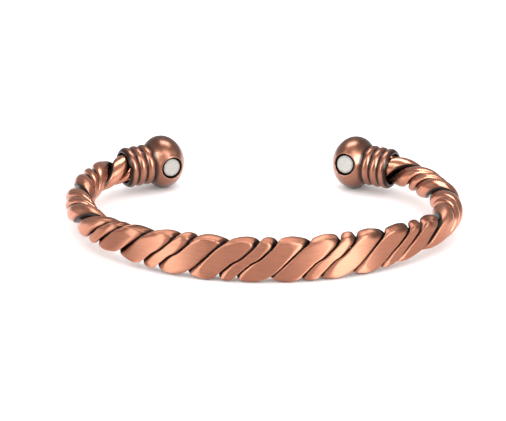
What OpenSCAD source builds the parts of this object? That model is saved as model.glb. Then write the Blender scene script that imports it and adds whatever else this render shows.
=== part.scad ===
// Open copper cuff bracelet lying on its side. Two thick wires and one thin
// wire are twisted together, rolled flat over the front half, and held at each
// end by a cast cap: a ribbed collar and a ball with a small magnet let into
// its wrist side.
// Millimetres, +Z up, +X to the right, the front of the cuff towards -Y.
// The origin is the middle of the footprint, on the surface it lies on.

/* [Cuff] */
// widest distance across the outside of the cuff
cuff_w = 66.4; // [62:0.2:71]

/* [Rope] */
// outside diameter of the twisted rope where it is round
rope_d = 5.1; // [4.9:0.1:5.2]
// length of rope in which a wire goes once around
pitch = 13; // [12:0.5:15]
// height of the rolled band at the front
band_h = 7.2; // [6.4:0.1:7.8]
// thickness of the rolled band at the front
band_t = 2.9; // [2.5:0.1:3.3]

/* [Caps] */
// diameter of the end ball across the rope's direction
ball_d = 9.1; // [8.7:0.1:9.8]
// length of the end ball along the rope's direction
ball_l = 7.7; // [7.3:0.1:8.2]
// outside diameter of the collar over its rings
collar_d = 7; // [6.9:0.1:7.4]
// diameter of each magnet
magnet_d = 3.2; // [2.8:0.1:3.4]

/* [Hidden] */
$fn = 96;

// clearances
wire_gap = 0.06;           // half the gap between wires, share of the rope radius
rope_play = 0.1;           // between the rope and its bore
magnet_play = 0.28;        // between a magnet and the wall of its hole
seat_gap = 0.1;            // between a magnet and the floor of its hole

// plan of the two halves of the cuff: the arcs of the rope's middle line from
// the front middle outwards, as radius before scaling and turning in degrees
left_bends = [[36.4, 37.4], [23.9, 78.9], [12.2, 35.8]];
right_bends = [[34.4, 46.1], [18, 61.6], [86, 4], [14.3, 37]];
rope_r = rope_d / 2;
size = (cuff_w - rope_d) / (widest(left_bends) + widest(right_bends));
left_arcs = arcs(left_bends);
right_arcs = arcs(right_bends);

// how far a half reaches to its side where it runs straight back
function widest(b, i = 0, h = 0, x = 0) = h + b[i][1] >= 90
    ? x + b[i][0] * (1 - sin(h))
    : widest(b, i + 1, h + b[i][1], x + b[i][0] * (sin(h + b[i][1]) - sin(h)));

// the arcs' starts: [distance along the rope, heading, place, radius]; the
// last one is the start of the straight end
function arcs(b, i = 0, s = 0, h = 0, p = [0, 0]) = i == len(b)
    ? [[s, h, p, 0]]
    : let (r = b[i][0] * size, g = h + b[i][1])
        concat([[s, h, p, r]],
            arcs(b, i + 1, s + r * b[i][1] * PI / 180, g, p + r * [sin(g) - sin(h), cos(h) - cos(g)]));

// middle line of one half at s from the front middle: [x, y, heading]
function along(a, s) = let (
    i = max([for (k = [0:len(a) - 1]) if (a[k][0] <= s) k]),
    d = s - a[i][0],
    h = a[i][1],
    r = a[i][3],
    g = r > 0 ? h + d / r * 180 / PI : h,
    p = a[i][2] + (r > 0 ? r * [sin(g) - sin(h), cos(h) - cos(g)] : d * [cos(h), sin(h)])
) [p[0], p[1], g];

// the same for the whole rope, s below 0 on the left
function plan(s) = s < 0
    ? let (p = along(left_arcs, -s)) [-p[0], p[1], -p[2]]
    : along(right_arcs, s);

// end cap, measured from the middle of the ball towards the rope
ball_r = ball_d / 2;
ball_h = ball_l / 2;
rim_r = 0.68 * ball_r;
crown_r = (ball_r * ball_r + ball_h * ball_h - 2 * ball_r * rim_r) / (2 * (ball_h - rim_r));
crown_drop = crown_r - ball_h;
crown_edge = (ball_r - rim_r) * crown_r / (crown_r - rim_r);
ring_r = 0.78;
ring_at = [3.45, 5.05, 6.65];
groove_r = collar_d / 2 - 0.42;
mouth_at = 7.4;
mouth_r = rope_r + 0.3;
mouth_deep = 1.1;
bore_r = rope_r + rope_play;
bore_end = 2.9;
last_bend = 6.4;           // ball middle to the end of the last bend
wire_end = bore_end + 0.3; // ball middle to the ends of the wires

// magnet, measured from the ball's middle towards the wrist
hole_r = magnet_d / 2 + magnet_play;
magnet_face = 3.85;
magnet_l = 2.2;
bevel = 0.15;
left_roll = 0;             // turn of each cap about the rope, magnet upwards
right_roll = 11;

// where the balls sit and how the cuff lies: on both balls and the band's edge
left_s = -left_arcs[len(left_bends)][0] - last_bend;
right_s = right_arcs[len(right_bends)][0] + last_bend;
left_ball = plan(left_s);
right_ball = plan(right_s);
rest_tilt = asin((ball_r - band_h / 2) / ((left_ball[1] + right_ball[1]) / 2));
lift = band_h / 2;
ball_back = (ball_r - rim_r) * abs(cos(right_ball[2])) + rim_r;
back_y = max(left_ball[1], right_ball[1]) * cos(rest_tilt) + ball_back;
shift = [(widest(left_bends) - widest(right_bends)) * size / 2, -(back_y - band_t / 2) / 2, lift];

// the rolling: full up to the first distance from the front middle, none
// beyond the second
height_zone = [11, 35];
thick_zone = [19, 40];
fill_zone = [15, 34];
round_fill = 0.5;          // how far the wires fill their share where round
edge_fill = 0.35;          // how much rounder they are on the band's edges
corner = 0.17;             // softness of the band's corners
peak = 0.975;              // softness of the band's two edges
overfill = 0.12;           // what the rollers press away from the faces
set_back = 0.5;            // how far the sides of a groove stay back from the faces
thin_at = -4.06;           // where the thin wire crosses the front's mid-height
end_slip = 1.1;            // how far the twist sits towards -X in the round ends
slip_zone = [32, 54];      // where this slip sets in

function ease(t) = let (c = max(0, min(1, t))) c * c * (3 - 2 * c);
function flat(s, zone) = 1 - ease((abs(s) - zone[0]) / (zone[1] - zone[0]));

// outline of the rolled band in direction a from its middle, 1 at the faces
function face_u(a) = cos(a) * sqrt(1 + corner * corner) / sqrt(cos(a) * cos(a) + corner * corner);
function face_v(a) = asin(peak * sin(a)) / asin(peak * cos(facet_a / 2));

// a point of the rope's section at s, given as [outwards, up] before rolling
function rolled(s, p) = let (
    k = flat(s, height_zone),
    half_t = rope_r + (band_t / 2 - rope_r) * flat(s, thick_zone),
    q = norm(p),
    a = atan2(p[1], p[0]),
    u = q * ((1 - k) * rope_r * cos(a) + k * (half_t + overfill) * face_u(a)),
    v = q * ((1 - k) * rope_r * sin(a) + k * band_h / 2 * face_v(a)),
    face = half_t * (1 - set_back * (1 - q))
) [max(-face, min(face, u)), v];

// sections of the wires in a rope of radius 1: middle and radius while round,
// and the outline of the share each one fills once rolled
apex = 0.241;
apex_a = 38.5;
facet_a = 20;              // one step around the rope's outside, in degrees
function polar(q, a) = q * [cos(a), sin(a)];
function wall(x, gaps) = [x, apex + abs(x) * tan(apex_a) + gaps * wire_gap];
thick_mid = [0.5, 0];
thick_r = 0.475;
thick_cell = [for (a = [-80:facet_a:40]) polar(1, a),
    polar(0.93, 46),
    wall(0.4, -1.3), wall(0.18, -1.5),
    [wire_gap, apex - 0.08],
    [wire_gap, -0.2], [wire_gap, -0.6],
    [wire_gap, -0.88], polar(0.97, -86)];
thin_mid = [0, 0.635];
thin_r = 0.295;
thin_cell = [for (a = [60:facet_a:120]) polar(1, a),
    polar(0.93, 126),
    wall(-0.4, 1.3), wall(-0.18, 1.5), wall(0, 2.5), wall(0.18, 1.5), wall(0.4, 1.3),
    polar(0.93, 54)];

// one ring of a wire's points at s
function ring(s, mid, r, cell) = let (
    slip = end_slip * (1 - flat(s, slip_zone)),
    turn = 360 * (s + slip - thin_at) / pitch - 90,
    fill = round_fill + (1 - round_fill) * flat(s, fill_zone),
    on = plan(s),
    out = [sin(on[2]), -cos(on[2])]
) [for (c = cell) let (
    a = atan2(c[1], c[0]) + turn,
    f = fill * (1 - edge_fill * flat(s, height_zone) * pow(abs(sin(a)), 6)),
    d = c - mid,
    p = (1 - f) * (mid + r * d / norm(d)) + f * c,
    w = rolled(s, [p[0] * cos(turn) - p[1] * sin(turn), p[0] * sin(turn) + p[1] * cos(turn)])
) [on[0] + out[0] * w[0], on[1] + out[1] * w[0], w[1]]];

// places of the rings: one for each step of the twist, so that the band's
// edges always fall midway between two corners of the section
from_s = left_s + wire_end;
to_s = right_s - wire_end;
step_l = pitch * facet_a / 360;
first_at = thin_at + step_l / 2;
places = [from_s,
    for (i = [ceil((from_s - first_at) / step_l + 0.4):floor((to_s - first_at) / step_l - 0.4)])
        first_at + i * step_l,
    to_s];

module wire(mid, r, cell) {
    n = len(cell);
    last = len(places) - 1;
    points = [for (s = places) each ring(s, mid, r, cell)];
    sides = [for (i = [0:last - 1], j = [0:n - 1])
        let (a = i * n + j, b = i * n + (j + 1) % n) each [[a, b, a + n], [a + n, b, b + n]]];
    ends = [[for (j = [0:n - 1]) n - 1 - j], [for (j = [0:n - 1]) last * n + j]];
    polyhedron(points, concat(sides, ends), convexity = 10);
}

function mirrored(cell) = [for (i = [len(cell) - 1:-1:0]) [-cell[i][0], cell[i][1]]];

module laid() {
    translate(shift)
        rotate([rest_tilt, 0, 0])
            children();
}

// put a cap's part in its place: its Z axis runs from the ball to the rope
module at_end(side) {
    at = side > 0 ? right_ball : left_ball;
    laid()
        translate([at[0], at[1], 0])
            rotate([0, 0, side > 0 ? at[2] + 180 : at[2]])
                rotate([0, 90, 0])
                    children();
}

// half of the ball's oval, tangent arcs, on the right of its axis
module ball_half() {
    intersection() {
        union() {
            translate([ball_r - rim_r, 0])
                circle(r = rim_r);
            intersection() {
                translate([0, -crown_drop])
                    circle(r = crown_r);
                translate([0, crown_drop])
                    circle(r = crown_r);
                square([2 * crown_edge, 2 * ball_r], center = true);
            }
        }
        translate([0, -ball_r])
            square([ball_r + 1, 2 * ball_r]);
    }
}

// turn +Z of a cap's part to the wrist side, and up by the cap's roll
module towards_wrist(side) {
    rotate([0, 0, -side * (side > 0 ? right_roll : left_roll)])
        rotate([0, 90, -side * 90])
            children();
}

module cap(side) {
    difference() {
        rotate_extrude()
            union() {
                ball_half();
                square([groove_r, mouth_at - 0.3]);
                square([groove_r - 0.3, mouth_at]);
                for (z = ring_at)
                    translate([collar_d / 2 - ring_r, z])
                        circle(r = ring_r);
            }
        translate([0, 0, bore_end])
            cylinder(r = bore_r, h = mouth_at);
        translate([0, 0, mouth_at - mouth_deep])
            cylinder(r = mouth_r, h = mouth_at);
        towards_wrist(side)
            translate([0, 0, magnet_face - magnet_l - seat_gap])
                cylinder(r = hole_r, h = ball_r);
    }
}

module magnet(side) {
    at_end(side)
        towards_wrist(side)
            translate([0, 0, magnet_face - magnet_l])
                rotate_extrude()
                    polygon([[0, 0], [magnet_d / 2, 0], [magnet_d / 2, magnet_l - bevel],
                        [magnet_d / 2 - bevel, magnet_l], [0, magnet_l]]);
}

module thick_wire_a() {
    color([0.72, 0.45, 0.34])
        laid()
            wire(thick_mid, thick_r, thick_cell);
}

module thick_wire_b() {
    color([0.68, 0.42, 0.31])
        laid()
            wire([-thick_mid[0], thick_mid[1]], thick_r, mirrored(thick_cell));
}

module thin_wire() {
    color([0.78, 0.5, 0.38])
        laid()
            wire(thin_mid, thin_r, thin_cell);
}

module end_cap_left() {
    color([0.5, 0.3, 0.22])
        at_end(-1)
            cap(-1);
}

module end_cap_right() {
    color([0.5, 0.3, 0.22])
        at_end(1)
            cap(1);
}

module magnet_left() {
    color([0.85, 0.85, 0.83])
        magnet(-1);
}

module magnet_right() {
    color([0.85, 0.85, 0.83])
        magnet(1);
}

thick_wire_a();
thick_wire_b();
thin_wire();
end_cap_left();
end_cap_right();
magnet_left();
magnet_right();
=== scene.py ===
"""Copper cuff bracelet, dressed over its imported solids.

Three wires are twisted into a rope and rolled flat at the front. Each end sits in a cast cap, a
ribbed collar with a ball, and each ball holds a plated disc magnet. Sizes are in millimetres; MM
turns them into Blender's metres. Names and formulas are those of the part's source, worked out
more finely for the wires' sections, the rings and the magnets' holes.
"""

from collections import namedtuple
from math import (
    acos, asin, atan2, ceil, cos, degrees, exp, hypot, pi, radians, sin, sqrt, tan, tanh,
)

import bpy
from mathutils import Matrix, Vector


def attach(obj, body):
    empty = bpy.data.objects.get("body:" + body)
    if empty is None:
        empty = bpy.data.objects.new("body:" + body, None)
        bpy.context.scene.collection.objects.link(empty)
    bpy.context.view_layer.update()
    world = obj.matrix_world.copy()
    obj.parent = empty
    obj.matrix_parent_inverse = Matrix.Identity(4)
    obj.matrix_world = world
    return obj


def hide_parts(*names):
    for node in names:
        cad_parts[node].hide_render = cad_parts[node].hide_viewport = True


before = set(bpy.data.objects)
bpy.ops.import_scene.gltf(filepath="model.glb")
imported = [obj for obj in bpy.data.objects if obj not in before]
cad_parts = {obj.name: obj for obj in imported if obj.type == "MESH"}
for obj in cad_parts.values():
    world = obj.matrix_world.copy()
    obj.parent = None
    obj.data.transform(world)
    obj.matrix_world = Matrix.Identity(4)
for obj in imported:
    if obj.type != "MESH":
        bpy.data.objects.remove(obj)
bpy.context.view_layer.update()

MM = 0.001


# Sizes of the cuff, as in the part's source.

CUFF_W = 66.4
ROPE_D = 5.1
PITCH = 13
BAND_H = 7.2
BAND_T = 2.9
BALL_D = 9.1
BALL_L = 7.7
COLLAR_D = 7
MAGNET_D = 3.2

ROPE_R = ROPE_D / 2
# the arcs of the rope's middle line from the front middle outwards: radius before scaling, turn
LEFT_BENDS = [(36.4, 37.4), (23.9, 78.9), (12.2, 35.8)]
RIGHT_BENDS = [(34.4, 46.1), (18, 61.6), (86, 4), (14.3, 37)]
# from a ball's middle to the end of the last bend and to the ends of the wires
LAST_BEND = 6.4
WIRE_END = 3.2
# turn of each cap about the rope, magnet upwards
LEFT_ROLL = 0
RIGHT_ROLL = 11

# a cap, measured from the middle of its ball towards the rope
BALL_R = BALL_D / 2
BALL_H = BALL_L / 2
RIM_R = 0.68 * BALL_R
CROWN_R = (BALL_R**2 + BALL_H**2 - 2 * BALL_R * RIM_R) / (2 * (BALL_H - RIM_R))
CROWN_DROP = CROWN_R - BALL_H
CROWN_EDGE = (BALL_R - RIM_R) * CROWN_R / (CROWN_R - RIM_R)
RING_R = 0.78
RING_AT = (3.45, 5.05, 6.65)
GROOVE_R = COLLAR_D / 2 - 0.42
MOUTH_AT = 7.4
MOUTH_R = ROPE_R + 0.3
MOUTH_DEEP = 1.1
BORE_R = ROPE_R + 0.1
BORE_END = 2.9

# a magnet and its hole, measured from the ball's middle towards the wrist
HOLE_R = MAGNET_D / 2 + 0.28
MAGNET_FACE = 3.85
MAGNET_L = 2.2
HOLE_FLOOR = MAGNET_FACE - MAGNET_L - 0.1


def sind(a):
    return sin(radians(a))


def cosd(a):
    return cos(radians(a))


def ease(t):
    """A smooth step from 0 to 1 while t goes from 0 to 1."""
    t = max(0, min(1, t))
    return t * t * (3 - 2 * t)


def rise(value, fade):
    """The same step while the value goes on from fade[0] by fade[1]."""
    start, length = fade
    return ease((value - start) / length)


def off_by(a, b):
    """The angle from b to a, in degrees between -180 and 180."""
    return (a - b + 180) % 360 - 180


# The rope's middle line.


def widest(bends):
    """How far a half reaches to its side where it runs straight back."""
    h = x = 0
    for r, turn in bends:
        if h + turn >= 90:
            return x + r * (1 - sind(h))
        x += r * (sind(h + turn) - sind(h))
        h += turn


SIZE = (CUFF_W - ROPE_D) / (widest(LEFT_BENDS) + widest(RIGHT_BENDS))


def arcs(bends):
    """Each arc's start: distance along the rope, heading, place, radius. The last one starts the
    straight end."""
    s = h = x = y = 0
    out = []
    for r, turn in bends:
        r *= SIZE
        out.append((s, h, x, y, r))
        x += r * (sind(h + turn) - sind(h))
        y += r * (cosd(h) - cosd(h + turn))
        s += r * radians(turn)
        h += turn
    return out + [(s, h, x, y, 0)]


LEFT_ARCS = arcs(LEFT_BENDS)
RIGHT_ARCS = arcs(RIGHT_BENDS)


def along(half, s):
    """Place and heading of the middle line of one half, s from the front middle."""
    start, h, x, y, r = [a for a in half if a[0] <= s][-1]
    d = s - start
    if r == 0:
        return x + d * cosd(h), y + d * sind(h), h
    g = h + degrees(d / r)
    return x + r * (sind(g) - sind(h)), y + r * (cosd(h) - cosd(g)), g


def plan(s):
    """The same for the whole rope, s below 0 on the left."""
    if s < 0:
        x, y, g = along(LEFT_ARCS, -s)
        return -x, y, -g
    return along(RIGHT_ARCS, s)


LEFT_S = -LEFT_ARCS[-1][0] - LAST_BEND
RIGHT_S = RIGHT_ARCS[-1][0] + LAST_BEND
LEFT_BALL = plan(LEFT_S)
RIGHT_BALL = plan(RIGHT_S)

# how the cuff lies: on both balls and on the band's lower edge
REST_TILT = degrees(asin((BALL_R - BAND_H / 2) / ((LEFT_BALL[1] + RIGHT_BALL[1]) / 2)))
BALL_BACK = (BALL_R - RIM_R) * abs(cosd(RIGHT_BALL[2]))
BACK_Y = max(LEFT_BALL[1], RIGHT_BALL[1]) * cosd(REST_TILT) + BALL_BACK + RIM_R
SHIFT = (
    (widest(LEFT_BENDS) - widest(RIGHT_BENDS)) * SIZE / 2,
    -(BACK_Y - BAND_T / 2) / 2,
    BAND_H / 2,
)
LAID = Matrix.Translation(SHIFT) @ Matrix.Rotation(radians(REST_TILT), 4, "X")


# How the wires are rolled. In each zone they are rolled in full up to the first distance from the
# front middle, and not at all beyond the second. EDGE_FILL, PEAK and SET_BACK are set for these
# meshes, and the solids have other values.

HEIGHT_ZONE = (11, 35)
THICK_ZONE = (19, 40)
FILL_ZONE = (15, 34)
BRUSHED_ZONE = (27, 38)
# how far the wires fill their share where round, and how much rounder they are on the edges
ROUND_FILL = 0.5
EDGE_FILL = 0.22
# softness of the band's corners and of its two edges
CORNER = 0.17
PEAK = 0.96
# what the rollers press away from the faces, and how far a groove's sides stay back from them
# below the share FLAT_TO of the rope's radius
OVERFILL = 0.12
SET_BACK = 1.5
FLAT_TO = 0.93
# how much lower a rolled wire lies at its sides than in its middle, on the faces and the edges
FACE_BULGE = 0.12
EDGE_BULGE = 0.06
# how far the thin wire's facet is bent aside at half height, over what angle the bend spreads,
# and where beside the thin wire it ends and fades, all in degrees around the rope
KINK = 10
KINK_SPREAD = 19
KINK_END = 110
KINK_FADE = 60
# where the thin wire crosses the front's mid-height, and how far the twist sits towards -X in
# the round ends
THIN_AT = -4.06
END_SLIP = 1.1
SLIP_ZONE = (32, 54)


# The wires' sections in a rope of radius 1.

# half the gap between two wires, a third of the solids' own
WIRE_GAP = 0.02
# where the walls between the thin wire and the thick ones meet, and their slope
APEX = 0.241
APEX_A = 38.5
# the rounded side of a facet, as distances from the rope's middle and degrees from the groove
SHOULDER = ((0.8, 3.4), (0.88, 5.4), (0.935, 8), (0.97, 11), (0.99, 15))
OUTSIDE_STEP = 4
# nearer to the rope's middle than this, an outline needs only this share of the points
HEART = 0.6
HEART_SHARE = 0.35


def polar(q, a):
    return q * cosd(a), q * sind(a)


def wall(x, gaps):
    """A point of the wall between the thin wire and a thick one, moved up by gaps half gaps."""
    return x, APEX + abs(x) * tan(radians(APEX_A)) + gaps * WIRE_GAP


def outside(start, end):
    """A wire's share of the rope's outside."""
    return [polar(1, a) for a in range(start, end + 1, OUTSIDE_STEP)]


def shoulder(edge, way):
    """The side of a facet, from the groove at the angle edge up to the outside. way is 1 or -1."""
    return [polar(q, edge + way * a) for q, a in SHOULDER]


THICK_CELL = shoulder(-90, 1) + outside(-71, 29) + shoulder(49.5, -1)[::-1] + [
    wall(0.4, -1.3), wall(0.18, -1.5),
    (WIRE_GAP, APEX - 0.08), (WIRE_GAP, -0.2), (WIRE_GAP, -0.6),
]
THIN_CELL = shoulder(50.5, 1) + outside(68, 112) + shoulder(129.5, -1)[::-1] + [
    wall(-0.4, 1.3), wall(-0.18, 1.5), wall(0, 2.5), wall(0.18, 1.5), wall(0.4, 1.3),
]


def mirrored(cell):
    return [(-x, y) for x, y in reversed(cell)]


# A wire: the middle and the radius of its section where the rope is round, the outline of its
# share once rolled, the angle of its middle in the rope, how far it goes to either side of that
# in degrees, and how many points a ring of its mesh has.
Wire = namedtuple("Wire", "name mid r cell middle reach points")

THIN_MIDDLE = 90
WIRES = (
    Wire("thick_wire_a", (0.5, 0), 0.475, THICK_CELL, -20, 70, 84),
    Wire("thick_wire_b", (-0.5, 0), 0.475, mirrored(THICK_CELL), 200, 70, 84),
    Wire("thin_wire", (0, 0.635), 0.295, THIN_CELL, THIN_MIDDLE, 40, 56),
)
# millimetres from ring to ring, and how many times each ring is eased
RING_STEP = 0.16
EASING_PASSES = 4


def evenly(cell, count):
    """The closed outline again, with count points at equal distances, fewer in the heart."""
    ends = cell[1:] + cell[:1]
    lengths = [
        hypot(b[0] - a[0], b[1] - a[1])
        * (1 if min(hypot(*a), hypot(*b)) > HEART else HEART_SHARE)
        for a, b in zip(cell, ends)
    ]
    step = sum(lengths) / count
    out = []
    i, left = 0, 0.0
    for k in range(count):
        want = k * step
        while want > left + lengths[i]:
            left += lengths[i]
            i += 1
        t = (want - left) / lengths[i]
        a, b = cell[i], ends[i]
        out.append((a[0] + t * (b[0] - a[0]), a[1] + t * (b[1] - a[1])))
    return out


def flat(s, zone):
    """1 where the rope is rolled flat, 0 where it is round."""
    return 1 - ease((abs(s) - zone[0]) / (zone[1] - zone[0]))


def rolled(s, x, y, across):
    """A point of the rope's section at s, as outwards and up, once it has been through the
    rollers. across is 0 in the wire's middle and 1 at its sides."""
    k = flat(s, HEIGHT_ZONE)
    half_t = ROPE_R + (BAND_T / 2 - ROPE_R) * flat(s, THICK_ZONE)
    q = hypot(x, y)
    c, d = x / q, y / q
    face_u = c * sqrt(1 + CORNER**2) / sqrt(c * c + CORNER**2)
    face_v = asin(PEAK * d) / asin(PEAK)
    u = q * (
        (1 - k) * ROPE_R * c
        + k * (half_t + OVERFILL) * face_u * (1 - FACE_BULGE * across**2)
    )
    v = q * (
        (1 - k) * ROPE_R * d
        + k * BAND_H / 2 * face_v * (1 - EDGE_BULGE * across**2)
    )
    face = half_t * (1 - SET_BACK * max(0, FLAT_TO - q))
    return max(-face, min(face, u)), v


def eased(loop):
    """The closed section with its corners eased."""
    for _ in range(EASING_PASSES):
        loop = [
            ((a[0] + 2 * b[0] + c[0]) / 4, (a[1] + 2 * b[1] + c[1]) / 4)
            for a, b, c in zip(loop[-1:] + loop[:-1], loop, loop[1:] + loop[:1])
        ]
    return loop


def kink(k, a, off_thin):
    """How far the rollers have bent the thin wire's facet aside at half height. a is the angle in
    the section, off_thin the angle from the thin wire's middle."""
    half = off_by(a, 0) if abs(off_by(a, 0)) < 90 else off_by(a, 180)
    bend = -KINK * k * tanh(half / KINK_SPREAD)
    return bend * ease(2 * cosd(half)) * ease((KINK_END - abs(off_thin)) / KINK_FADE)


# How the wires are darkened, with patina and painted shade. Each pair is a fade, where it starts
# and over what length it comes in full.

# the grooves of the round rope and of the band are dark below these shares of the rope's radius:
# patina and painted shade
ROUND_DARK_BELOW, ROUND_DARK_FADE = 0.85, 0.12
DARK_BELOW, DARK_FADE = 0.93, 0.09
# right of the middle the band's grooves are worn: bright a little deeper
WORN = 0.02
WORN_AT = 8
WORN_WIDE = 5
# on the band's edges, painted shade: a dark wedge where the groove behind a wire opens, by height
# in the section, and by how far a point lies to the wire's rear
WEDGE_DARK = 0.7
WEDGE_UP = (0.84, 0.14)
WEDGE_REAR = (0.3, 0.65)
# towards the right, painted shade on the wires' tops on that side, for the darker room they
# mirror there: also by distance along
TOP_DARK = 0.9
TOP_ALONG = (6, 8)
TOP_UP = (0.78, 0.17)
TOP_REAR = (-0.2, 0.7)
# the band's upper inner edge is a little darker: by how far inwards, and by height
INNER_DARK = 0.75
INNER_IN = (-0.02, 0.1)
INNER_UP = (0.86, 0.08)


def wire_tarnish_and_shade(s, wire, cell_a, cell_q, a, q):
    """How dark a wire is at one point of its ring at s, in patina and painted shade. cell_a and
    cell_q are the point's angle and distance from the rope's middle in the wire's cell, a and q
    the same in the rope."""
    k = flat(s, HEIGHT_ZONE)
    band = flat(s, BRUSHED_ZONE)
    worn = WORN * exp(-(((s - WORN_AT) / WORN_WIDE) ** 2))
    up = sind(a)
    rear = up * off_by(wire.middle, cell_a) / wire.reach
    wedge = WEDGE_DARK * band * rise(abs(up), WEDGE_UP) * rise(rear, WEDGE_REAR)
    top = TOP_DARK * band * rise(s, TOP_ALONG) * rise(up, TOP_UP) * rise(rear, TOP_REAR)
    inner = INNER_DARK * band * rise(-cosd(a), INNER_IN) * rise(up, INNER_UP)
    round_groove = (1 - k) * (ROUND_DARK_BELOW - q) / ROUND_DARK_FADE
    band_groove = k * (DARK_BELOW - worn - cell_q) / DARK_FADE
    return max(top, inner, ease(round_groove + band_groove + wedge))


def wire_section(s, wire, cell):
    """One ring of a wire at s: its points as outwards and up, and how dark each one is."""
    turn = 360 * (s - THIN_AT + END_SLIP * (1 - flat(s, SLIP_ZONE))) / PITCH - 90
    fill = ROUND_FILL + (1 - ROUND_FILL) * flat(s, FILL_ZONE)
    k = flat(s, HEIGHT_ZONE)
    mid_x, mid_y = wire.mid
    points, tarnish_and_shade = [], []
    for x, y in cell:
        cell_a = degrees(atan2(y, x))
        f = fill * (1 - EDGE_FILL * k * abs(sind(cell_a + turn)) ** 4)
        n = hypot(x - mid_x, y - mid_y)
        px = (1 - f) * (mid_x + wire.r * (x - mid_x) / n) + f * x
        py = (1 - f) * (mid_y + wire.r * (y - mid_y) / n) + f * y
        q = hypot(px, py)
        a = degrees(atan2(py, px)) + turn
        a += kink(k, a, off_by(cell_a, THIN_MIDDLE))
        across = min(1, abs(off_by(cell_a, wire.middle)) / wire.reach)
        points.append(rolled(s, q * cosd(a), q * sind(a), across))
        tarnish_and_shade.append(wire_tarnish_and_shade(s, wire, cell_a, hypot(x, y), a, q))
    return eased(points), tarnish_and_shade


def new_mesh(name, points, faces, marks, maps=()):
    """A smooth piece in metres. marks holds its attributes as names and a number a point, and
    maps its texture maps as names and a pair of numbers a point."""
    mesh = bpy.data.meshes.new(name)
    mesh.from_pydata([p * MM for p in points], [], faces)
    mesh.polygons.foreach_set("use_smooth", [True] * len(faces))
    for mark, values in marks:
        mesh.attributes.new(mark, "FLOAT", "POINT").data.foreach_set("value", values)
    corners = [0] * len(mesh.loops)
    mesh.loops.foreach_get("vertex_index", corners)
    for label, pairs in maps:
        flat_pairs = [c for v in corners for c in pairs[v]]
        mesh.uv_layers.new(name=label).data.foreach_set("uv", flat_pairs)
    mesh.update()
    piece = bpy.data.objects.new(name, mesh)
    bpy.context.scene.collection.objects.link(piece)
    return piece


# The wires' texture maps. One unit of a map is this many millimetres.
MAP_UNIT = 10
# how far the brush lines' map goes on across the band's thickness, as a share of the way
BRUSH_LEAN = 0.6
# half the way around a wire in the drawing lines' map, in millimetres for an r of 1
HALF_AROUND = 4 * pi


def make_wire(wire):
    """A wire swept ring by ring along the rope. pressed is 1 where it is brushed flat."""
    count = wire.points
    cell = evenly(wire.cell, count)
    start, end = LEFT_S + WIRE_END, RIGHT_S - WIRE_END
    rings = ceil((end - start) / RING_STEP)
    around = HALF_AROUND * wire.r
    points, depth, pressed, brush, strand = [], [], [], [], []
    for i in range(rings + 1):
        s = start + (end - start) * i / rings
        x, y, heading = plan(s)
        out_x, out_y = sind(heading), -cosd(heading)
        section, tarnish_and_shade = wire_section(s, wire, cell)
        for j, (u, v) in enumerate(section):
            points.append(LAID @ Vector((x + out_x * u, y + out_y * u, v)))
            brush.append((s / MAP_UNIT, (v + BRUSH_LEAN * u) / MAP_UNIT))
            strand.append((s / MAP_UNIT, around * abs(2 * j / count - 1) / MAP_UNIT))
        depth += tarnish_and_shade
        pressed += [flat(s, BRUSHED_ZONE)] * count
    faces = []
    for i in range(rings):
        for j in range(count):
            a, b = i * count + j, i * count + (j + 1) % count
            faces.append((a, a + count, b + count, b))
    faces.append(tuple(range(count)))
    faces.append(tuple(range((rings + 1) * count - 1, rings * count - 1, -1)))
    return new_mesh(
        wire.name + "_fine", points, faces,
        [("depth", depth), ("pressed", pressed)], [("brush", brush), ("strand", strand)],
    )


# The end caps. Around the magnet's hole a patch is left out of the turned ball and filled with
# loops that lead from its square edge to the round hole.

CAP_COLUMNS = 160
CROWN_ROWS = 14
PATCH_Z = 2.46
PATCH_ROWS = 32
PATCH_COLUMNS = 32
PATCH_LOOPS = 6
COLLAR_STEP = 0.055
COLLAR_LAST = MOUTH_AT - 0.02
# how softly the rings leave the ball's neck and the grooves' bottoms
NECK_EASE = 0.12
RING_EASE = 0.05
# the rounded edge of the hole, and the raised lip around it: height, width, distance outwards
HOLE_EDGE = 0.2
LIP_H = 0.1
LIP_W = 0.3
LIP_OUT = 0.16
# where the caps are dark: in the grooves below this radius, past the last ring and at the neck;
# painted shade on the hole's edge; and away from the magnet by degrees, patina and painted shade
# on the ball
GROOVE_DARK_R, GROOVE_DARK_FADE = COLLAR_D / 2 - 0.22, 0.18
MOUTH_DARK = (0.25, 0.35)
NECK_DARK = 0.9
NECK_FADE = (2.1, 0.5)
HOLE_EDGE_SHADE = 0.15
BALL_PATINA_AND_SHADE = 0.45
BALL_PATINA_AND_SHADE_FADE = (30, 50)
BALL_END = PATCH_Z + 0.6


def ball_radius(z):
    """The slightly flattened ball's radius at z: a crown at each pole, a tangent rim between."""
    z = abs(z)
    if z >= BALL_H:
        return 0
    if sqrt(CROWN_R**2 - CROWN_EDGE**2) - CROWN_DROP < z:
        return sqrt(max(0, CROWN_R**2 - (z + CROWN_DROP) ** 2))
    return BALL_R - RIM_R + sqrt(RIM_R**2 - z * z)


def eased_max(a, b, soft):
    """The larger of a and b, with the change from one to the other rounded by about soft."""
    return (a + b + sqrt((a - b) ** 2 + soft * soft)) / 2


def collar_radius(z):
    """Outside of the cap at z, with the grooves' bottoms eased."""
    r = eased_max(ball_radius(z), GROOVE_R, NECK_EASE)
    for at in RING_AT:
        if abs(z - at) < RING_R:
            ring = COLLAR_D / 2 - RING_R + sqrt(RING_R**2 - (z - at) ** 2)
            r = eased_max(r, ring, RING_EASE)
    return r


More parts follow.
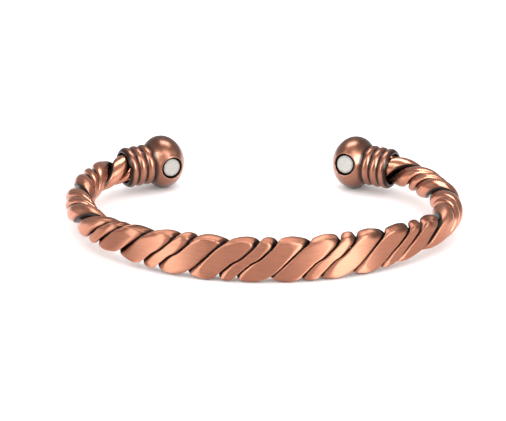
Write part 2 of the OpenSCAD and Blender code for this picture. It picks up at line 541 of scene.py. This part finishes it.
def cap_outline():
    """The cap's section from the ball's pole to the bottom of the bore, as (radius, z, depth).
    The patch around the magnet's hole starts after CROWN_ROWS rows."""
    crown = acos((CROWN_DROP + PATCH_Z) / CROWN_R)
    rows = []
    for k in range(CROWN_ROWS):
        a = crown * k / CROWN_ROWS
        rows.append((CROWN_R * sin(a), CROWN_DROP - CROWN_R * cos(a), 0))
    patch_a = asin(PATCH_Z / RIM_R)
    for k in range(PATCH_ROWS + 1):
        z = RIM_R * sin(patch_a * (2 * k / PATCH_ROWS - 1))
        rows.append((ball_radius(z), z, 0))
    z = PATCH_Z
    while z < COLLAR_LAST:
        z += COLLAR_STEP
        r = collar_radius(z)
        groove = ease((GROOVE_DARK_R - r) / GROOVE_DARK_FADE)
        rows.append((r, z, max(groove, rise(z - RING_AT[-1], MOUTH_DARK))))
    # the last ring's rounded end, then the mouth and the bore
    lip = COLLAR_D / 2 - RING_R
    end = RING_AT[-1] + RING_R
    for r, z in (
        (lip + 0.14, end - 0.015), (lip + 0.05, end - 0.002), (lip - 0.03, end - 0.01),
        (MOUTH_R, end - 0.08),
    ):
        rows.append((r, z, 0.9))
    for r, z in (
        (MOUTH_R, end - 0.4), (MOUTH_R, MOUTH_AT - MOUTH_DEEP),
        (BORE_R, MOUTH_AT - MOUTH_DEEP - 0.05), (BORE_R, BORE_END + 1),
        (BORE_R, BORE_END + 0.05), (BORE_R - 0.05, BORE_END), (0, BORE_END),
    ):
        rows.append((r, z, 1))
    return rows


def turned(rows, columns, skip=None):
    """The solid that the rows (radius, z, depth) sweep around Z, without the faces that skip
    names. A radius of 0 is one point."""
    points, depth, faces, index = [], [], [], []
    for r, z, deep in rows:
        if r == 0:
            index.append([len(points)] * columns)
            points.append(Vector((0, 0, z)))
            depth.append(deep)
        else:
            index.append(list(range(len(points), len(points) + columns)))
            for j in range(columns):
                a = 2 * pi * j / columns
                points.append(Vector((r * cos(a), r * sin(a), z)))
                depth.append(deep)
    for i in range(len(rows) - 1):
        for j in range(columns):
            if skip and skip(i, j):
                continue
            k = (j + 1) % columns
            corners = [index[i][j], index[i][k], index[i + 1][k], index[i + 1][j]]
            faces.append(tuple(dict.fromkeys(corners)))
    return points, depth, faces, index


def on_ball(x, z, drop):
    """The point of the ball at x beside and z along from the hole's axis, let in by drop. The
    casting is a little raised around the hole."""
    lip = LIP_H * exp(-(((hypot(x, z) - HOLE_R - LIP_OUT) / LIP_W) ** 2))
    return Vector((sqrt(max(0, ball_radius(z) ** 2 - x * x)) + lip - drop, x, z))


def cap_place(side):
    """Where a cap's own frame lies: its Z axis runs from the ball to the rope."""
    x, y, heading = RIGHT_BALL if side > 0 else LEFT_BALL
    turn = Matrix.Rotation(radians(heading + 180 if side > 0 else heading), 4, "Z")
    return LAID @ Matrix.Translation((x, y, 0)) @ turn @ Matrix.Rotation(pi / 2, 4, "Y")


def hole_place(side, roll):
    """The same, turned until its X axis runs out through the magnet's hole."""
    return cap_place(side) @ Matrix.Rotation(radians(-side * (90 + roll)), 4, "Z")


def make_cap(name, side, roll):
    """One casting: ball, neck, three rings, mouth and bore, with the magnet's hole in the ball."""
    rows = cap_outline()
    low, high = CROWN_ROWS, CROWN_ROWS + PATCH_ROWS
    half = PATCH_COLUMNS // 2

    def in_patch(i, j):
        return low <= i < high and (j < half or j >= CAP_COLUMNS - half)

    points, depth, faces, index = turned(rows, CAP_COLUMNS, in_patch)
    # the patch's edge: up its right side, back along the top, down the left, on along the bottom
    edge = [(low + k, half) for k in range(PATCH_ROWS)]
    edge += [(high, half - k) for k in range(PATCH_COLUMNS)]
    edge += [(high - k, -half) for k in range(PATCH_ROWS)]
    edge += [(low, k - half) for k in range(PATCH_COLUMNS)]
    count = len(edge)
    loops = [[index[i][j % CAP_COLUMNS] for i, j in edge]]
    angle = [atan2(rows[i][1], BALL_R * sin(2 * pi * j / CAP_COLUMNS)) for i, j in edge]
    around = HOLE_R + HOLE_EDGE

    def add_loop(place, deep):
        start = len(points)
        points.extend(place)
        depth.extend([deep] * count)
        loops.append(list(range(start, start + count)))

    for k in range(1, PATCH_LOOPS + 1):
        t = k / PATCH_LOOPS
        ring = []
        for (i, j), a in zip(edge, angle):
            x0, z0 = BALL_R * 2 * pi * j / CAP_COLUMNS, rows[i][1]
            x = (1 - t) * ball_radius(z0) * sin(x0 / BALL_R) + t * around * cos(a)
            z = (1 - t) * z0 + t * around * sin(a)
            ring.append(on_ball(x, z, 0))
        add_loop(ring, 0)
    for k in range(1, PATCH_LOOPS + 1):
        b = pi / 2 * k / PATCH_LOOPS
        q = HOLE_R + HOLE_EDGE * (1 - sin(b))
        drop = HOLE_EDGE * (1 - cos(b))
        ring = [on_ball(q * cos(a), q * sin(a), drop) for a in angle]
        add_loop(ring, HOLE_EDGE_SHADE * k / PATCH_LOOPS)
    # down the hole's wall to its floor, each loop as its share of the way and how dark it is,
    # painted shade in the hole
    wall_top = [p.x for p in points[-count:]]
    for t, deep in ((0.12, 0.8), (0.4, 1), (1, 1)):
        add_loop([
            Vector((x + t * (HOLE_FLOOR - x), HOLE_R * cos(a), HOLE_R * sin(a)))
            for x, a in zip(wall_top, angle)
        ], deep)
    for inner, outer in zip(loops[1:], loops[:-1]):
        for j in range(count):
            k = (j + 1) % count
            faces.append((outer[j], outer[k], inner[k], inner[j]))
    faces.append(tuple(loops[-1]))
    # the ball is darker away from the magnet: its patina, and painted shade for the darker
    # surroundings it mirrors
    for i, point in enumerate(points):
        if point.z < BALL_END:
            away = degrees(point.angle(Vector((1, 0, 0))))
            neck = NECK_DARK * rise(point.z, NECK_FADE)
            depth[i] = max(depth[i], neck, BALL_PATINA_AND_SHADE * rise(away, BALL_PATINA_AND_SHADE_FADE))
    place = hole_place(side, roll)
    return new_mesh(name, [place @ p for p in points], faces, [("depth", depth)])


MAGNET_COLUMNS = 96
MAGNET_EDGE = 0.15
MAGNET_EDGE_ROWS = 5


def make_magnet(name, side, roll):
    """A plated disc with an eased edge. depth is 1 on its rim: wear at the edge, and painted shade
    down its side in the hole.
    """
    r, back, face = MAGNET_D / 2, MAGNET_FACE - MAGNET_L, MAGNET_FACE
    rows = [
        (0, back, 1), (r - 0.05, back, 1), (r, back + 0.05, 1),
        (r, face - MAGNET_EDGE - 0.4, 1), (r, face - MAGNET_EDGE, 1),
    ]
    for k in range(1, MAGNET_EDGE_ROWS + 1):
        a = pi / 2 * k / MAGNET_EDGE_ROWS
        in_by, short_by = MAGNET_EDGE * (1 - cos(a)), MAGNET_EDGE * (1 - sin(a))
        rows.append((r - in_by, face - short_by, 1 - 0.6 * k / MAGNET_EDGE_ROWS))
    rows += [(r - 0.25, face, 0.2), (r - 0.5, face, 0), (r * 0.4, face, 0), (0, face, 0)]
    points, depth, faces, _ = turned(rows, MAGNET_COLUMNS)
    place = hole_place(side, roll) @ Matrix.Rotation(pi / 2, 4, "Y")
    return new_mesh(name, [place @ p for p in points], faces, [("depth", depth)])


# The finishes.


def node(tree, kind, **values):
    """A new node with its own settings, and the values of its inputs by name."""
    made = tree.nodes.new(kind)
    for name, value in values.items():
        label = name.replace("_", " ")
        if label in made.inputs:
            made.inputs[label].default_value = value
        else:
            setattr(made, name, value)
    return made


def maths(tree, operation, second=None, clamp=False):
    """A math node. second is its second number, where nothing is joined to it."""
    made = node(tree, "ShaderNodeMath", operation=operation, use_clamp=clamp)
    if second is not None:
        made.inputs[1].default_value = second
    return made


def join(tree, *pairs):
    for start, end in pairs:
        tree.links.new(start, end)


def new_group(name, inputs, outputs):
    """An empty node group with its inputs and outputs, given as labels and kinds of value."""
    tree = bpy.data.node_groups.new(name, "ShaderNodeTree")
    for way, sockets in (("INPUT", inputs), ("OUTPUT", outputs)):
        for label, kind in sockets:
            tree.interface.new_socket(name=label, in_out=way, socket_type="NodeSocket" + kind)
    return tree, tree.nodes.new("NodeGroupInput"), tree.nodes.new("NodeGroupOutput")


def tarnish_and_shade_group():
    """Bright metal that turns dark with depth, in uneven patches: patina, and painted shade where
    the depth attribute marks it.
    """
    tree, given, put = new_group(
        "tarnish_and_shade",
        [("Metal", "Color"), ("Tarnish", "Color"), ("Patchiness", "Float"),
         ("Patch Scale", "Float")],
        [("Color", "Color"), ("Mask", "Float"), ("Metallic", "Float")],
    )
    place = node(tree, "ShaderNodeTexCoord")
    noise = node(tree, "ShaderNodeTexNoise", Detail=4.0, Roughness=0.6)
    depth = node(tree, "ShaderNodeAttribute", attribute_name="depth")
    centred = maths(tree, "SUBTRACT", 0.5)
    patches = maths(tree, "MULTIPLY")
    total = maths(tree, "ADD", clamp=True)
    metal_share = node(tree, "ShaderNodeMapRange", From_Min=0.5, To_Min=1.0, To_Max=0.2)
    mix = node(tree, "ShaderNodeMix", data_type="RGBA")
    join(
        tree,
        (place.outputs["Object"], noise.inputs["Vector"]),
        (given.outputs["Patch Scale"], noise.inputs["Scale"]),
        (noise.outputs["Fac"], centred.inputs[0]),
        (centred.outputs[0], patches.inputs[0]),
        (given.outputs["Patchiness"], patches.inputs[1]),
        (depth.outputs["Fac"], total.inputs[0]),
        (patches.outputs[0], total.inputs[1]),
        (total.outputs[0], mix.inputs["Factor"]),
        (given.outputs["Metal"], mix.inputs["A"]),
        (given.outputs["Tarnish"], mix.inputs["B"]),
        (mix.outputs["Result"], put.inputs["Color"]),
        (total.outputs[0], put.inputs["Mask"]),
        (total.outputs[0], metal_share.inputs["Value"]),
        (metal_share.outputs["Result"], put.inputs["Metallic"]),
    )
    return tree


def grain_group():
    """Fine satin grain as heights, and slow smudges in the roughness, which the darkening mask
    changes.
    """
    tree, given, put = new_group(
        "satin_grain",
        [("Grain Scale", "Float"), ("Smudge Scale", "Float"), ("Roughness", "Float"),
         ("Smudge", "Float"), ("Mask", "Float"), ("Tarnish Roughness", "Float")],
        [("Height", "Float"), ("Roughness", "Float")],
    )
    place = node(tree, "ShaderNodeTexCoord")
    grain = node(tree, "ShaderNodeTexNoise", Detail=3.0)
    smudge = node(tree, "ShaderNodeTexNoise", Detail=3.0)
    swing = maths(tree, "MULTIPLY_ADD")
    worn = node(tree, "ShaderNodeMix", data_type="FLOAT")
    join(
        tree,
        (place.outputs["Object"], grain.inputs["Vector"]),
        (place.outputs["Object"], smudge.inputs["Vector"]),
        (given.outputs["Grain Scale"], grain.inputs["Scale"]),
        (given.outputs["Smudge Scale"], smudge.inputs["Scale"]),
        (grain.outputs["Fac"], put.inputs["Height"]),
        (smudge.outputs["Fac"], swing.inputs[0]),
        (given.outputs["Smudge"], swing.inputs[1]),
        (given.outputs["Roughness"], swing.inputs[2]),
        (given.outputs["Mask"], worn.inputs["Factor"]),
        (swing.outputs[0], worn.inputs["A"]),
        (given.outputs["Tarnish Roughness"], worn.inputs["B"]),
        (worn.outputs["Result"], put.inputs["Roughness"]),
    )
    return tree


TARNISH_AND_SHADE = tarnish_and_shade_group()
GRAIN = grain_group()


def place_group(tree, group, **values):
    """A node that stands for a whole group, with the values of its inputs by name."""
    made = tree.nodes.new("ShaderNodeGroup")
    made.node_tree = group
    for name, value in values.items():
        made.inputs[name.replace("_", " ")].default_value = value
    return made


def new_material(name):
    material = bpy.data.materials.new(name)
    material.use_nodes = True
    tree = material.node_tree
    return material, tree, tree.nodes["Principled BSDF"]


def streaks(tree, uv_map, scale, low, high):
    """Lines drawn out along a texture map, as a shade between low and high."""
    lay = node(tree, "ShaderNodeUVMap", uv_map=uv_map)
    stretch = node(tree, "ShaderNodeMapping", Scale=scale)
    lines = node(tree, "ShaderNodeTexNoise", Scale=1.0, Detail=6.0, Roughness=0.7)
    shade = node(tree, "ShaderNodeMapRange", From_Min=0.3, From_Max=0.7, To_Min=low, To_Max=high)
    join(
        tree,
        (lay.outputs["UV"], stretch.inputs["Vector"]),
        (stretch.outputs["Vector"], lines.inputs["Vector"]),
        (lines.outputs["Fac"], shade.inputs["Value"]),
    )
    return shade


def rolled_copper():
    """The wires: satin copper, brushed along the band, nearly black in the grooves with patina and
    painted shade.
    """
    material, tree, shader = new_material("rolled_copper")
    tarnish_and_shade = place_group(
        tree, TARNISH_AND_SHADE, Metal=(0.59, 0.246, 0.158, 1), Tarnish=(0.014, 0.008, 0.006, 1),
        Patchiness=0.25, Patch_Scale=260.0,
    )
    grain = place_group(
        tree, GRAIN, Grain_Scale=9000.0, Smudge_Scale=300.0, Roughness=0.2, Smudge=0.1,
        Tarnish_Roughness=0.3,
    )
    pressed = node(tree, "ShaderNodeAttribute", attribute_name="pressed")
    # drawing lines along each wire where it is round, finer brush lines where it is rolled flat
    drawn = streaks(tree, "strand", (0.5, 11.0, 1.0), 0.7, 1.22)
    brush = streaks(tree, "brush", (2.5, 60.0, 1.0), 0.76, 1.02)
    shade = node(tree, "ShaderNodeMix", data_type="FLOAT")
    heights = maths(tree, "ADD")
    # brushing makes the flat facets this much rougher
    brushed = maths(tree, "MULTIPLY_ADD", 0.25)
    streaked = node(tree, "ShaderNodeMix", data_type="RGBA", blend_type="MULTIPLY", Factor=1.0)
    bump = node(tree, "ShaderNodeBump", Strength=0.22, Distance=0.00002)
    along_rope = node(tree, "ShaderNodeTangent", direction_type="UV_MAP", uv_map="brush")
    join(
        tree,
        (pressed.outputs["Fac"], shade.inputs["Factor"]),
        (drawn.outputs["Result"], shade.inputs["A"]),
        (brush.outputs["Result"], shade.inputs["B"]),
        (pressed.outputs["Fac"], shader.inputs["Anisotropic"]),
        (tarnish_and_shade.outputs["Color"], streaked.inputs["A"]),
        (shade.outputs["Result"], streaked.inputs["B"]),
        (streaked.outputs["Result"], shader.inputs["Base Color"]),
        (tarnish_and_shade.outputs["Mask"], grain.inputs["Mask"]),
        (tarnish_and_shade.outputs["Metallic"], shader.inputs["Metallic"]),
        (pressed.outputs["Fac"], brushed.inputs[0]),
        (grain.outputs["Roughness"], brushed.inputs[2]),
        (brushed.outputs[0], shader.inputs["Roughness"]),
        (shade.outputs["Result"], heights.inputs[0]),
        (grain.outputs["Height"], heights.inputs[1]),
        (heights.outputs[0], bump.inputs["Height"]),
        (bump.outputs["Normal"], shader.inputs["Normal"]),
        (along_rope.outputs["Tangent"], shader.inputs["Tangent"]),
    )
    shader.inputs["Anisotropic Rotation"].default_value = 0.25
    shader.inputs["Specular IOR Level"].default_value = 0.2
    return material


def cast_copper():
    """The caps: antiqued copper, brown in patches and dark between the rings, with painted shade
    in the magnets' holes and on the balls away from the magnets.
    """
    material, tree, shader = new_material("cast_copper")
    tarnish_and_shade = place_group(
        tree, TARNISH_AND_SHADE, Metal=(0.32, 0.125, 0.075, 1), Tarnish=(0.014, 0.006, 0.004, 1),
        Patchiness=0.5, Patch_Scale=230.0,
    )
    grain = place_group(
        tree, GRAIN, Grain_Scale=5000.0, Smudge_Scale=420.0, Roughness=0.28, Smudge=0.14,
        Tarnish_Roughness=0.32,
    )
    bump = node(tree, "ShaderNodeBump", Strength=0.18, Distance=0.00002)
    # the clear lacquer is worn off in the grooves
    lacquer = maths(tree, "MULTIPLY", 0.6)
    join(
        tree,
        (tarnish_and_shade.outputs["Metallic"], lacquer.inputs[0]),
        (lacquer.outputs[0], shader.inputs["Coat Weight"]),
        (tarnish_and_shade.outputs["Color"], shader.inputs["Base Color"]),
        (tarnish_and_shade.outputs["Metallic"], shader.inputs["Metallic"]),
        (tarnish_and_shade.outputs["Mask"], grain.inputs["Mask"]),
        (grain.outputs["Roughness"], shader.inputs["Roughness"]),
        (grain.outputs["Height"], bump.inputs["Height"]),
        (bump.outputs["Normal"], shader.inputs["Normal"]),
    )
    shader.inputs["Specular IOR Level"].default_value = 0.2
    shader.inputs["Coat Roughness"].default_value = 0.18
    return material


def plated_magnet():
    """The magnets: pale matt nickel with faint mottling, dark at a worn rim, with painted shade
    down their sides in the holes.
    """
    material, tree, shader = new_material("plated_magnet")
    tarnish_and_shade = place_group(
        tree, TARNISH_AND_SHADE, Metal=(0.41, 0.373, 0.35, 1), Tarnish=(0.05, 0.045, 0.04, 1),
        Patchiness=1.1, Patch_Scale=3500.0,
    )
    grain = place_group(
        tree, GRAIN, Grain_Scale=6000.0, Smudge_Scale=900.0, Roughness=0.4, Smudge=0.2,
        Tarnish_Roughness=0.6,
    )
    bump = node(tree, "ShaderNodeBump", Strength=0.3, Distance=0.00003)
    join(
        tree,
        (tarnish_and_shade.outputs["Color"], shader.inputs["Base Color"]),
        (tarnish_and_shade.outputs["Mask"], grain.inputs["Mask"]),
        (grain.outputs["Roughness"], shader.inputs["Roughness"]),
        (grain.outputs["Height"], bump.inputs["Height"]),
        (bump.outputs["Normal"], shader.inputs["Normal"]),
    )
    shader.inputs["Metallic"].default_value = 0.75
    return material


# The table, the light and the camera, in metres.

TABLE_HALF = 0.7
LIT_POINT = (0, 0, 0.004)
WHITE = (1, 1, 1)
COOL = (0.85, 1, 1)
# the tent's brightness for the table, and for the darker room that the copper mirrors
TENT = 2.0
MIRRORED_ROOM = 0.42
# azimuth, elevation, distance, width, height, power, tint; azimuth 0 is the photo's side, 90 is
# the right
LIGHTS = {
    "top": (180, 66, 0.13, 0.085, 0.045, 0.1, WHITE),
    "front_top": (6, 56, 0.6, 0.34, 0.2, 0.85, WHITE),
    "left_top": (-31, 42, 0.6, 0.07, 0.09, 0.24, WHITE),
    "right_top": (31, 46, 0.6, 0.09, 0.09, 0.3, WHITE),
    "right_side": (40.3, 22, 0.6, 0.2, 0.38, 4.1, COOL),
    "right_fill": (76, 22, 0.6, 0.4, 0.4, 0.55, WHITE),
    "left_fill": (-100, 22, 0.6, 0.3, 0.4, 0.12, WHITE),
    "left_side": (-53.4, 24, 0.6, 0.18, 0.46, 2.6, COOL),
}
# the photo's camera: its focal length and width in pixels, its angles, and what it looks at
FOCAL = 2340.6
PHOTO_W = 506
SENSOR = 36.0
CAMERA_AZIMUTH = -1.04
CAMERA_ELEVATION = 20.0
CAMERA_DISTANCE = 0.3903
LOOKED_AT = (-0.00174, 0, 0.00299)


def pale_table():
    h = TABLE_HALF
    mesh = bpy.data.meshes.new("table")
    mesh.from_pydata([(-h, -h, 0), (h, -h, 0), (h, h, 0), (-h, h, 0)], [], [(0, 1, 2, 3)])
    table = bpy.data.objects.new("table", mesh)
    bpy.context.scene.collection.objects.link(table)
    material, _, shader = new_material("white_board")
    shader.inputs["Base Color"].default_value = (0.9, 0.9, 0.9, 1)
    shader.inputs["Roughness"].default_value = 0.6
    shader.inputs["Specular IOR Level"].default_value = 0.2
    mesh.materials.append(material)


def aim(thing, azimuth, elevation, distance, target):
    """Links a light or a camera to the scene, at a distance from the target and facing it."""
    bpy.context.scene.collection.objects.link(thing)
    level = cosd(elevation)
    away = Vector((sind(azimuth) * level, -cosd(azimuth) * level, sind(elevation)))
    thing.location = Vector(target) + away * distance
    thing.rotation_euler = away.to_track_quat("Z", "Y").to_euler()


def soft_light(name, azimuth, elevation, distance, width, height, power, tint):
    """A rectangular light that shows in the metal, not on the table, which the tent lights."""
    data = bpy.data.lights.new(name, "AREA")
    data.shape = "RECTANGLE"
    data.size, data.size_y, data.energy, data.color = width, height, power, tint
    light = bpy.data.objects.new(name, data)
    aim(light, azimuth, elevation, distance, LIT_POINT)
    light.visible_diffuse = False


def studio():
    world = bpy.data.worlds.new("studio")
    world.use_nodes = True
    tree = world.node_tree
    tent = tree.nodes["Background"]
    tent.inputs["Color"].default_value = (1, 1, 1, 1)
    path = node(tree, "ShaderNodeLightPath")
    level = node(tree, "ShaderNodeMix", data_type="FLOAT", A=TENT, B=MIRRORED_ROOM)
    join(
        tree,
        (path.outputs["Is Glossy Ray"], level.inputs["Factor"]),
        (level.outputs["Result"], tent.inputs["Strength"]),
    )
    scene = bpy.context.scene
    scene.world = world
    scene.view_settings.view_transform = "Standard"
    for name, light in LIGHTS.items():
        soft_light(name, *light)


def photo_camera():
    data = bpy.data.cameras.new("camera")
    data.sensor_width = SENSOR
    data.lens = FOCAL / PHOTO_W * SENSOR
    data.clip_start = 0.01
    camera = bpy.data.objects.new("camera", data)
    aim(camera, CAMERA_AZIMUTH, CAMERA_ELEVATION, CAMERA_DISTANCE, LOOKED_AT)
    bpy.context.scene.camera = camera


def dress(piece, material, node_name):
    """Gives a piece its material and puts it in the place of the solid with that node's name."""
    piece.data.materials.append(material)
    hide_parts(node_name)
    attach(piece, "root")


photo_camera()
studio()
pale_table()

copper = rolled_copper()
for wire in WIRES:
    dress(make_wire(wire), copper, wire.name)

cast = cast_copper()
plating = plated_magnet()
for side, word, roll in ((-1, "left", LEFT_ROLL), (1, "right", RIGHT_ROLL)):
    dress(make_cap(f"end_cap_{word}_fine", side, roll), cast, f"end_cap_{word}")
    dress(make_magnet(f"magnet_{word}_fine", side, roll), plating, f"magnet_{word}")
